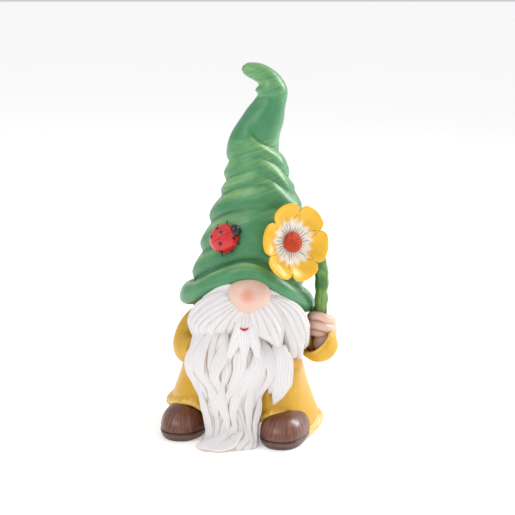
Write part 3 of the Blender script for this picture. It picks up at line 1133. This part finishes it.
class GNOME_OT_hand(bpy.types.Operator):
    """Make the fist that holds the stem"""
    bl_idname = "gnome.hand"
    bl_label = "Hand"

    def execute(self, context):
        tan = skin_paint()
        for number, (word, path, radius) in enumerate(FINGERS):
            size = [radius * 0.9] + [radius] * 4 + [radius * 0.8]
            rings, _, height = swept(path, size, size, UP, 80, 60)
            rings = self.blunt(rings)
            rings = uneven(rings, 6, 90 + number, 0.25)
            crease = np.clip(np.abs(height) - 0.72, 0, 1) * (0.0 if word == "ring" else 3.2)
            blush = bump(np.linspace(0, 1, 80)[:, None], 0.55, 0.2) * 0.35 * (np.abs(height) < 0.6)
            Clay().add(rings, np.clip(crease, 0, 1), blush, head=True).piece(
                f"finger_{word}", tan, "skin", f"finger_{word}_left")
        path = [(67.5, -6.0, 95.0), (69.0, -7.0, 90.0), (68.8, -10.0, 84.0), (66.8, -13.6, 78.5),
                (64.0, -14.6, 73.5), (62.4, -12.0, 68.0)]
        rings, _, height = swept(path, [7.0, 8.2, 9.0, 8.6, 7.0, 5.0], [6.5, 8.0, 9.2, 8.2, 6.6, 5.0], FRONT,
                                 100, 100)
        rings = self.blunt(rings)
        rings = uneven(rings, 9, 95, 0.35)
        wrist = np.clip((66 - rings[..., 2]) / 5, 0, 1)
        Clay().add(rings, wrist, 0.06, head=True).piece("palm", tan, "skin", "palm_left")
        path = [(66, -2, 92), (60.5, -4, 98), (57, -8, 102)]
        rings, _, _ = swept(path, [4, 4, 3.4], [4, 4, 3.4], UP, 60, 60)
        rings = self.blunt(rings)
        rings = uneven(rings, 6, 97, 0.2)
        Clay().add(rings, 0.1, head=True).piece("thumb", tan, "skin", "thumb_left")
        return {"FINISHED"}

    @staticmethod
    def blunt(rings, reach=0.16):
        """Rounds off both ends of a swept form."""
        at = np.linspace(0, 1, len(rings))
        size = np.sqrt(np.clip(1 - np.clip(1 - at / reach, 0, 1) ** 2, 0, 1))
        size = size * np.sqrt(np.clip(1 - np.clip(1 - (1 - at) / reach, 0, 1) ** 2, 0, 1))
        middle = rings.mean(axis=1, keepdims=True)
        return middle + (rings - middle) * np.maximum(size, 0.04)[:, None, None]


# ------------------------------------------------------------------ ladybird
BUG_CENTRE = np.array([-14.8, -37.0, 166.8])
BUG_LONG, BUG_WIDE, BUG_TALL = 12.3, 11.6, 9.4     # half length, half width and height of the wing cases


def bug_axes():
    """The ladybird's forward, sideways and outward directions on the hat's front."""
    out = unit(np.array([-0.40, -0.88, 0.26]))
    level = unit(np.cross(out, UP)) * -1
    level = level * np.sign(level[0])
    steep = unit(np.cross(level, out))
    steep = steep * np.sign(steep[2])
    tilt = math.radians(36.0)
    ahead = level * math.cos(tilt) + steep * math.sin(tilt)
    return ahead, np.cross(out, ahead), out


def on_bug(points):
    ahead, aside, out = bug_axes()
    return BUG_CENTRE + points[..., :1] * ahead + points[..., 1:2] * aside + points[..., 2:] * out


def instances_tree(name, material):
    """Places a copy of one small shape at every point of a cloud, turned to the way stored at the point."""
    tree = bpy.data.node_groups.new(name, "GeometryNodeTree")
    tree.interface.new_socket("Geometry", in_out="INPUT", socket_type="NodeSocketGeometry")
    shape = tree.interface.new_socket("Shape", in_out="INPUT", socket_type="NodeSocketObject")
    size = tree.interface.new_socket("Size", in_out="INPUT", socket_type="NodeSocketFloat")
    vary = tree.interface.new_socket("Variation", in_out="INPUT", socket_type="NodeSocketFloat")
    seed = tree.interface.new_socket("Seed", in_out="INPUT", socket_type="NodeSocketInt")
    size.default_value, vary.default_value, seed.default_value = 1.0, 0.1, 1
    tree.interface.new_socket("Geometry", in_out="OUTPUT", socket_type="NodeSocketGeometry")
    w = Wires(tree)
    ins, outs = tree.nodes.new("NodeGroupInput"), tree.nodes.new("NodeGroupOutput")
    way = w.node("GeometryNodeInputNamedAttribute", {"data_type": "FLOAT_VECTOR"}, Name="out")
    turn = w.node("FunctionNodeAlignEulerToVector", {"axis": "Z"}, Vector=way.outputs["Attribute"])
    info = w.node("GeometryNodeObjectInfo", Object=ins.outputs["Shape"])
    low = w.math("SUBTRACT", 1.0, ins.outputs["Variation"])
    high = w.math("ADD", 1.0, ins.outputs["Variation"])
    spread = w.node("FunctionNodeRandomValue", {"data_type": "FLOAT"})
    w.feed(spread.inputs[2], low)
    w.feed(spread.inputs[3], high)
    w.feed(spread.inputs["Seed"], ins.outputs["Seed"])
    scale = w.math("MULTIPLY", spread.outputs[1], ins.outputs["Size"])
    copies = w.node("GeometryNodeInstanceOnPoints", Points=ins.outputs["Geometry"],
                    Instance=info.outputs["Geometry"], Rotation=turn.outputs[0], Scale=scale)
    real = w.node("GeometryNodeRealizeInstances", Geometry=copies.outputs[0])
    done = w.node("GeometryNodeSetMaterial", Geometry=real.outputs[0], Material=material)
    w.feed(outs.inputs[0], done.outputs[0])
    return tree, {"Shape": shape.identifier, "Size": size.identifier, "Variation": vary.identifier,
                  "Seed": seed.identifier}


def from_nodes(name, source, tree, ids, values):
    """Runs a Geometry Nodes tree on a source mesh and keeps the result as a plain mesh."""
    modifier = source.modifiers.new("Build", "NODES")
    modifier.node_group = tree
    for label, value in values.items():
        modifier[ids[label]] = value
    bpy.context.view_layer.update()
    graph = bpy.context.evaluated_depsgraph_get()
    mesh = bpy.data.meshes.new_from_object(source.evaluated_get(graph), depsgraph=graph)
    source.modifiers.remove(modifier)
    mesh.name = name
    mesh.shade_smooth()
    piece = bpy.data.objects.new(name, mesh)
    bpy.context.scene.collection.objects.link(piece)
    return piece


def cloud(name, points, normals):
    """A mesh of loose points that each store the way out of the surface."""
    normals = unit(np.asarray(normals, float))
    mesh = bpy.data.meshes.new(name)
    mesh.from_pydata(((points + MOVE) * MM).tolist(), [], [])
    layer = mesh.attributes.new("out", "FLOAT_VECTOR", "POINT")
    layer.data.foreach_set("vector", normals.astype(np.float32).ravel())
    thing = bpy.data.objects.new(name, mesh)
    bpy.context.scene.collection.objects.link(thing)
    return thing


def small_shape(name, scale, rings=6, around=10):
    """A little flattened dome, in metres, used again and again."""
    drop = np.linspace(0.0, math.pi, rings + 1)
    turn = round_turns(around)
    points = [(0, 0, scale[2])]
    for angle in drop[1:-1]:
        points += [(scale[0] * math.sin(angle) * math.cos(t), scale[1] * math.sin(angle) * math.sin(t),
                    scale[2] * math.cos(angle)) for t in turn]
    points.append((0, 0, -scale[2]))
    last = len(points) - 1
    faces = [(0, 1 + i, 1 + (i + 1) % around) for i in range(around)]
    for row in range(rings - 2):
        a = 1 + row * around
        faces += [(a + i, a + around + i, a + around + (i + 1) % around, a + (i + 1) % around)
                  for i in range(around)]
    a = 1 + (rings - 2) * around
    faces += [(last, a + (i + 1) % around, a + i) for i in range(around)]
    mesh = bpy.data.meshes.new(name)
    mesh.from_pydata(points, [], faces)
    mesh.shade_smooth()
    thing = bpy.data.objects.new(name, mesh)
    bpy.context.scene.collection.objects.link(thing)
    return thing


def scattered(name, points, normals, shape, size, vary, seed, material, slot, *nodes):
    """A piece made of one small shape repeated at points, by Geometry Nodes."""
    tree, ids = instances_tree(name + " tree", material)
    source = cloud(name + "_points", points, normals)
    piece = from_nodes(name, source, tree, ids,
                       {"Shape": shape, "Size": size, "Variation": vary, "Seed": seed})
    bpy.data.objects.remove(source)
    bpy.data.objects.remove(shape)
    return settled(piece, slot, *nodes)


class GNOME_OT_ladybird(bpy.types.Operator):
    """Make the ladybird on the hat: its wing cases, head, spots and legs"""
    bl_idname = "gnome.ladybird"
    bl_label = "Ladybird"

    def execute(self, context):
        drop = np.linspace(0.02, math.pi / 2 + 0.5, 110)[:, None]
        turn = round_turns(160)[None]
        wide = BUG_WIDE * np.sin(drop) * np.sin(turn)
        long = BUG_LONG * np.sin(drop) * np.cos(turn)
        tall = BUG_TALL * np.cos(drop) + 0 * turn
        split = bump(wide, 0, 0.45) * (long < 9)
        local = np.stack([long, wide, tall - 0.55 * split], axis=-1)
        red = paint("ladybird_red", (0.83, 0.11, 0.13), (0.36, 0.03, 0.05), (0.90, 0.30, 0.30), 0.30, 0.9,
                    0.35, 0.10,
                    streaks=(200.0, 200.0, 200.0), relief=0.00015, coat=0.3)
        cavity = np.clip(split * 0.7 + np.clip(0.12 - tall / BUG_TALL, 0, 1) * 2.5, 0, 1)
        ridge = np.exp(-((long + 3) ** 2 + (wide - 4) ** 2) / 30) * 0.6
        Clay().add(on_bug(local), cavity, ridge, head=True).piece("ladybird_shell", red, "ladybird_red",
                                                                 "ladybird_wing_cases")
        black = black_paint()
        clay = Clay()
        rings = egg(np.zeros(3), (1, 1, 1), 60, 80)
        clay.add(on_bug(rings * [4.2, 5.2, 4.4] + [11.8, 0, 1.6]), 0.1, head=True)
        for side in (-1, 1):
            clay.add(on_bug(rings[::3, ::3] * [1.1, 1.1, 1.1] + [14.2, side * 2.8, 3.8]), 0.0, 0.9, head=True)
            for start, reach in ((7.5, 2.0), (0.5, 0.0), (-6.5, -2.4)):
                edge = 11.4 * math.sqrt(1 - (start / 12.6) ** 2)
                leg = np.array([(start, side * (edge - 1.5), 0.6),
                                (start + reach * 0.4, side * (edge + 0.5), 0.7),
                                (start + reach * 0.8, side * (edge + 1.3), -0.6)])
                tube, _, _ = swept(leg, [0.75, 0.65, 0.5], [0.75, 0.65, 0.5], (0, 0, 1), 14, 12)
                clay.add(on_bug(tube), head=True)
        clay.piece("ladybird_head_and_legs", black, "ladybird_black", "ladybird_head")
        places = np.array([(0.7, 8.6), (3.0, 2.9), (-6.8, 5.2), (-2.1, -4.5), (-6.0, -8.8), (8.8, -5.6)])
        share = np.sqrt(np.clip(1 - (places[:, 0] / BUG_LONG) ** 2 - (places[:, 1] / BUG_WIDE) ** 2, 0.02, 1))
        points = np.column_stack([places, BUG_TALL * share])
        normals = np.column_stack([places[:, 0] / BUG_LONG**2, places[:, 1] / BUG_WIDE**2, share / BUG_TALL])
        ahead, aside, out = bug_axes()
        world = turned(on_bug(points))
        facing = turned(normals[:, :1] * ahead + normals[:, 1:2] * aside + normals[:, 2:] * out)
        dot = small_shape("spot_shape", (0.0016, 0.0016, 0.00045), 8, 20)
        scattered("ladybird_dots", world, facing, dot, 1.0, 0.12, 3, black, "ladybird_black",
                  "ladybird_spots")
        return {"FINISHED"}


# ------------------------------------------------------------------ flower
FLOWER_CENTRE = np.array([38.6, -46.0, 165.5])


def flower_axes():
    turn, rise = math.radians(34.0), math.radians(8.0)
    facing = np.array([math.sin(turn) * math.cos(rise), -math.cos(turn) * math.cos(rise), math.sin(rise)])
    right = unit(np.cross(facing, UP)) * -1
    right = right * np.sign(right[0])
    up = unit(np.cross(right, facing))
    return right, up * np.sign(up[2]), facing


def on_flower(points):
    right, up, facing = flower_axes()
    return FLOWER_CENTRE + points[..., :1] * right + points[..., 1:2] * up + points[..., 2:] * facing


PETAL_ROOT, PETAL_LENGTH, PETAL_HALF = 4.0, 27.2, 13.1     # start from the middle, length, half width
GRAIN_DOME = 7.2                     # radius of the dome that the grains cover


def petal_rings(number, along=110, around=150):
    """One thick cupped petal, with its place from the middle and the brown lines near the disc."""
    rng = np.random.default_rng(600 + number)
    s = np.linspace(0, 1, along)[:, None]
    turn = round_turns(around)[None]
    reach = PETAL_ROOT + PETAL_LENGTH * s
    width = PETAL_HALF * np.interp(s, [0, 0.15, 0.35, 0.55, 0.75, 0.88, 0.95, 0.985, 1.0],
                                   [0.34, 0.58, 0.84, 0.97, 1.0, 0.86, 0.62, 0.40, 0.16])
    thick = np.interp(s, [0, 0.2, 0.6, 0.9, 1.0], [1.4, 1.8, 2.4, 2.6, 0.9])
    c, d = np.cos(turn), np.sin(turn)
    across = rounded(c, 0.82)
    skin = rounded(d, 0.9)
    cup = 8.2 * s**1.9 + 3.8 * np.abs(across) ** 2.4 * np.sin(math.pi * np.clip(s, 0, 1) ** 1.5) ** 0.9
    out = -2.6 + cup + skin * thick
    angle = math.radians(107 + 60 * number + rng.uniform(-1.5, 1.5))
    flat = across * width * (1 + 0.02 * np.sin(7 * s))
    flat = flat + 0 * skin
    dimple = bump(across, 0, 0.55) * bump(s, 0.66, 0.20) * 2.2 * (skin > 0)
    out = out - dimple
    x = reach * math.cos(angle) - flat * math.sin(angle)
    y = reach * math.sin(angle) + flat * math.cos(angle)
    rings = on_flower(np.stack([x + 0 * out, y + 0 * out, out], axis=-1))
    radius = np.sqrt(x**2 + y**2) + 0 * out
    white = np.clip((19.2 - radius + 1.6 * np.sin(across * 11 + number)) / 4.0, 0, 1)
    white = white * np.clip(skin * 4, 0, 1)
    lines = np.zeros_like(radius)
    spread = np.arctan2(flat, reach)
    for place, length in zip((-0.42, -0.2, 0.02, 0.22, 0.43), rng.uniform(12.5, 18.0, 5)):
        gap = np.abs(spread - place - 0.03 * np.sin(radius)) * radius
        lines = np.maximum(lines, bump(gap, 0, 0.36) * np.clip((length - radius) / 3.0, 0, 1))
    edge = np.clip(np.abs(across) - 0.90, 0, 1) * 12 * np.clip((28 - radius) / 6, 0, 1)
    lines = np.clip(np.maximum(lines * np.clip(skin * 4, 0, 1), edge * 0.8), 0, 1)
    return rings, lines, white


def petal_paint():
    """Yellow petals that fade to white near the disc, where thin brown lines run out."""
    c = colours()
    material = paint("petal_yellow", c.petals, (0.86, 0.52, 0.07), (0.96, 0.80, 0.34), 0.40, 0.0, 0.0, 0.42,
                     streaks=(500.0, 500.0, 500.0), relief=0.0002, coat=0.10)
    tree = material.node_tree
    w = Wires(tree)
    group = next(n for n in tree.nodes if n.bl_idname == "ShaderNodeGroup")
    shader = tree.nodes["Principled BSDF"]
    lines = w.node("ShaderNodeAttribute", {"attribute_name": "cavity"}).outputs["Fac"]
    white = w.node("ShaderNodeAttribute", {"attribute_name": "ridge"}).outputs["Fac"]
    tinted = w.mix(white, group.outputs["Color"], linear((0.93, 0.91, 0.86)))
    inked = w.mix(w.math("MULTIPLY", lines, 0.85), tinted, linear((0.30, 0.19, 0.12)))
    w.feed(shader.inputs["Base Color"], inked)
    return material


class GNOME_OT_flower(bpy.types.Operator):
    """Make the flower: its petals, its grainy middle, the green cup behind and the stem"""
    bl_idname = "gnome.flower"
    bl_label = "Flower"

    def execute(self, context):
        yellow = petal_paint()
        for number in range(6):
            rings, lines, white = petal_rings(number)
            Clay().add(rings, lines, white, head=True).piece(f"petal_{number + 1}", yellow, "petal_yellow",
                                                            f"flower_petal_{number + 1}")
        orange = paint("flower_orange", (0.84, 0.26, 0.04), (0.62, 0.13, 0.02), (0.95, 0.46, 0.10), 0.5,
                       0.7, 0.5, 0.7, streaks=(500.0, 500.0, 500.0), coat=0.05)
        self.disc(orange)
        green = stem_paint()
        profile = smooth([(2.5, -11.5), (5.5, -10.8), (8.0, -8.8), (9.2, -6.8), (8.2, -5.6), (4.0, -5.0)], 40)
        Clay().add(on_flower(lathe(profile, 90)), 0.3,
                   head=True).piece("flower_cup", green, "stem_green", "flower_calyx")
        self.stem(green)
        return {"FINISHED"}

    def disc(self, orange):
        profile = smooth([(3.0, -3.5), (6.5, -2.0), (7.4, 0.4), (7.2, 2.4), (6.3, 3.9), (4.0, 5.0),
                          (1.0, 5.3)], 40)
        Clay().add(on_flower(lathe(profile, 100)), 0.8,
                   head=True).piece("flower_disc", orange, "flower_orange", "flower_centre")
        count = sizes().grains
        index = np.arange(count)
        spin = index * math.pi * (3 - math.sqrt(5))
        share = np.sqrt((index + 0.5) / count)
        bend = share * 1.75
        radius = GRAIN_DOME * np.sin(np.clip(bend, 0, math.pi / 2))
        out = np.where(bend > math.pi / 2, 1.6 - (bend - math.pi / 2) * 9.0, 1.6 + 3.6 * np.cos(bend))
        local = np.column_stack([radius * np.cos(spin), radius * np.sin(spin), out])
        way = np.column_stack([np.cos(spin) * np.sin(bend), np.sin(spin) * np.sin(bend), np.cos(bend) + 0.1])
        right, up, facing = flower_axes()
        world = turned(on_flower(local))
        normals = turned(way[:, :1] * right + way[:, 1:2] * up + way[:, 2:] * facing)
        grain = small_shape("grain_shape", (sizes().grain,) * 3, 5, 8)
        scattered("flower_grains", world, normals, grain, 1.0, 0.3, 5, orange, "flower_orange")

    def stem(self, green):
        back = on_flower(np.array([0.0, 0.0, -12.0]))
        path = [tuple(back), (51.2, -28.6, 159.6), (59.8, -24, 150), (63.2, -20, 138), (64.0, -16.5, 122),
                (63.6, -14.5, 106), (63.4, -14, 92), (64, -13.5, 80)]
        radius = sizes().stem_radius * 1000
        size = [4.4, radius] + [radius + 0.1] * 5 + [radius - 0.4]
        rings, across, height = swept(path, size, size, (1.0, 0, 0), 260, 90)
        ribs = np.sin(round_turns(90) * 9)[None] * 0.12
        rings = rings + outward(rings) * (ripple(rings, 5, 120) * 0.35 + ribs)[..., None]
        at = np.linspace(0, 1, 260)[:, None] + 0 * across
        ridge = np.clip(0.45 + 0.35 * ripple(rings, 6, 121), 0, 1)
        Clay().add(rings, np.clip(-height * 0.8, 0, 1) * 0.6 + 0 * at, ridge, head=True).piece(
            "stem", green, "stem_green", "flower_stem")


# ------------------------------------------------------------------ floor, lights, camera
AIM_HEIGHT = 0.140
FLOOR_GLOW, ROOM_LIGHT = 0.34, 0.62
LIGHTS = (  # name, place from the figure, width and height, power
    ("key", (-0.75, -1.2, 1.15), (0.9, 0.9), 8.0), ("fill", (1.2, -1.2, 0.7), (0.9, 0.9), 1.5),
    ("strip", (0.95, 0.75, 0.70), (0.22, 1.0), 15.0), ("top", (0.1, 0.2, 1.6), (1.2, 1.2), 2.0))
CAMERA_RISE, CAMERA_REACH = math.radians(12.0), 1.070
CAMERA_LENS, CAMERA_SHIFT = 90.87, (0.0282, 0.0087)


class GNOME_OT_stage(bpy.types.Operator):
    """Set the pale floor, the soft lights and the camera"""
    bl_idname = "gnome.stage"
    bl_label = "Floor, lights and camera"

    def execute(self, context):
        scene = context.scene
        bpy.ops.mesh.primitive_plane_add(size=160.0, location=(0, 0, 0))
        floor = context.object
        floor.name = "floor"
        material = bpy.data.materials.new("floor_white")
        material.use_nodes = True
        w = Wires(material.node_tree)
        shader = material.node_tree.nodes["Principled BSDF"]
        cloth = w.noise(w.node("ShaderNodeTexCoord").outputs["Object"], 3.0)
        w.feed(shader.inputs["Base Color"], w.mix(cloth, (0.96, 0.96, 0.96, 1), (0.98, 0.98, 0.98, 1)))
        shader.inputs["Roughness"].default_value = 0.9
        shader.inputs["Specular IOR Level"].default_value = 0.1
        shader.inputs["Emission Color"].default_value = (1, 1, 1, 1)
        shader.inputs["Emission Strength"].default_value = FLOOR_GLOW
        floor.data.materials.append(material)
        world = bpy.data.worlds.new("studio")
        scene.world = world
        world.use_nodes = True
        world.node_tree.nodes["Background"].inputs[0].default_value = (1.0, 1.0, 1.0, 1)
        world.node_tree.nodes["Background"].inputs[1].default_value = ROOM_LIGHT
        aim = Vector((MOVE[0] * MM, MOVE[1] * MM, AIM_HEIGHT))
        for name, place, size, power in LIGHTS:
            light = bpy.data.lights.new(name, "AREA")
            light.shape = "RECTANGLE"
            light.size, light.size_y = size
            light.energy = power
            lamp = bpy.data.objects.new(name, light)
            scene.collection.objects.link(lamp)
            lamp.location = aim + Vector(place)
            lamp.rotation_euler = (aim - lamp.location).to_track_quat("-Z", "Y").to_euler()
        self.camera(scene, aim)
        scene.view_settings.view_transform = "Standard"
        return {"FINISHED"}

    def camera(self, scene, aim):
        rise = CAMERA_RISE
        way = Vector((math.sin(HEAD_YAW) * math.cos(rise), -math.cos(HEAD_YAW) * math.cos(rise),
                      math.sin(rise)))
        data = bpy.data.cameras.new("camera")
        data.sensor_width = 36.0
        data.lens = CAMERA_LENS
        data.shift_x, data.shift_y = CAMERA_SHIFT
        data.clip_start, data.clip_end = 0.05, 30.0
        camera = bpy.data.objects.new("camera", data)
        scene.collection.objects.link(camera)
        camera.location = aim + way * CAMERA_REACH
        camera.rotation_euler = (-way).to_track_quat("-Z", "Y").to_euler()
        scene.camera = camera


class GNOME_PT_panel(bpy.types.Panel):
    """Everything that makes the gnome"""
    bl_label = "Garden Gnome"
    bl_idname = "GNOME_PT_panel"
    bl_space_type = "VIEW_3D"
    bl_region_type = "UI"
    bl_category = "Gnome"

    def draw(self, context):
        column = self.layout.column()
        for group in (context.scene.gnome_sizes, context.scene.gnome_colours):
            for key in group.bl_rna.properties.keys():
                if key not in ("rna_type", "name"):
                    column.prop(group, key)
        for operator in OPERATORS:
            column.operator(operator.bl_idname)


OPERATORS = (GNOME_OT_stage, GNOME_OT_hat, GNOME_OT_face, GNOME_OT_beard, GNOME_OT_moustache,
             GNOME_OT_clothes,
             GNOME_OT_boots, GNOME_OT_hand, GNOME_OT_ladybird, GNOME_OT_flower)
CLASSES = (GnomeColours, GnomeSizes, *OPERATORS, GNOME_PT_panel)


def register():
    for item in CLASSES:
        bpy.utils.register_class(item)
    bpy.types.Scene.gnome_colours = PointerProperty(type=GnomeColours)
    bpy.types.Scene.gnome_sizes = PointerProperty(type=GnomeSizes)


def unregister():
    del bpy.types.Scene.gnome_sizes
    del bpy.types.Scene.gnome_colours
    for item in reversed(CLASSES):
        bpy.utils.unregister_class(item)


def main():
    register()
    for name in ("stage", "hat", "face", "beard", "moustache", "clothes", "boots", "hand", "ladybird",
                 "flower"):
        if getattr(bpy.ops.gnome, name)() != {"FINISHED"}:
            raise RuntimeError(f"the {name} could not be made")


if __name__ == "__main__":
    main()
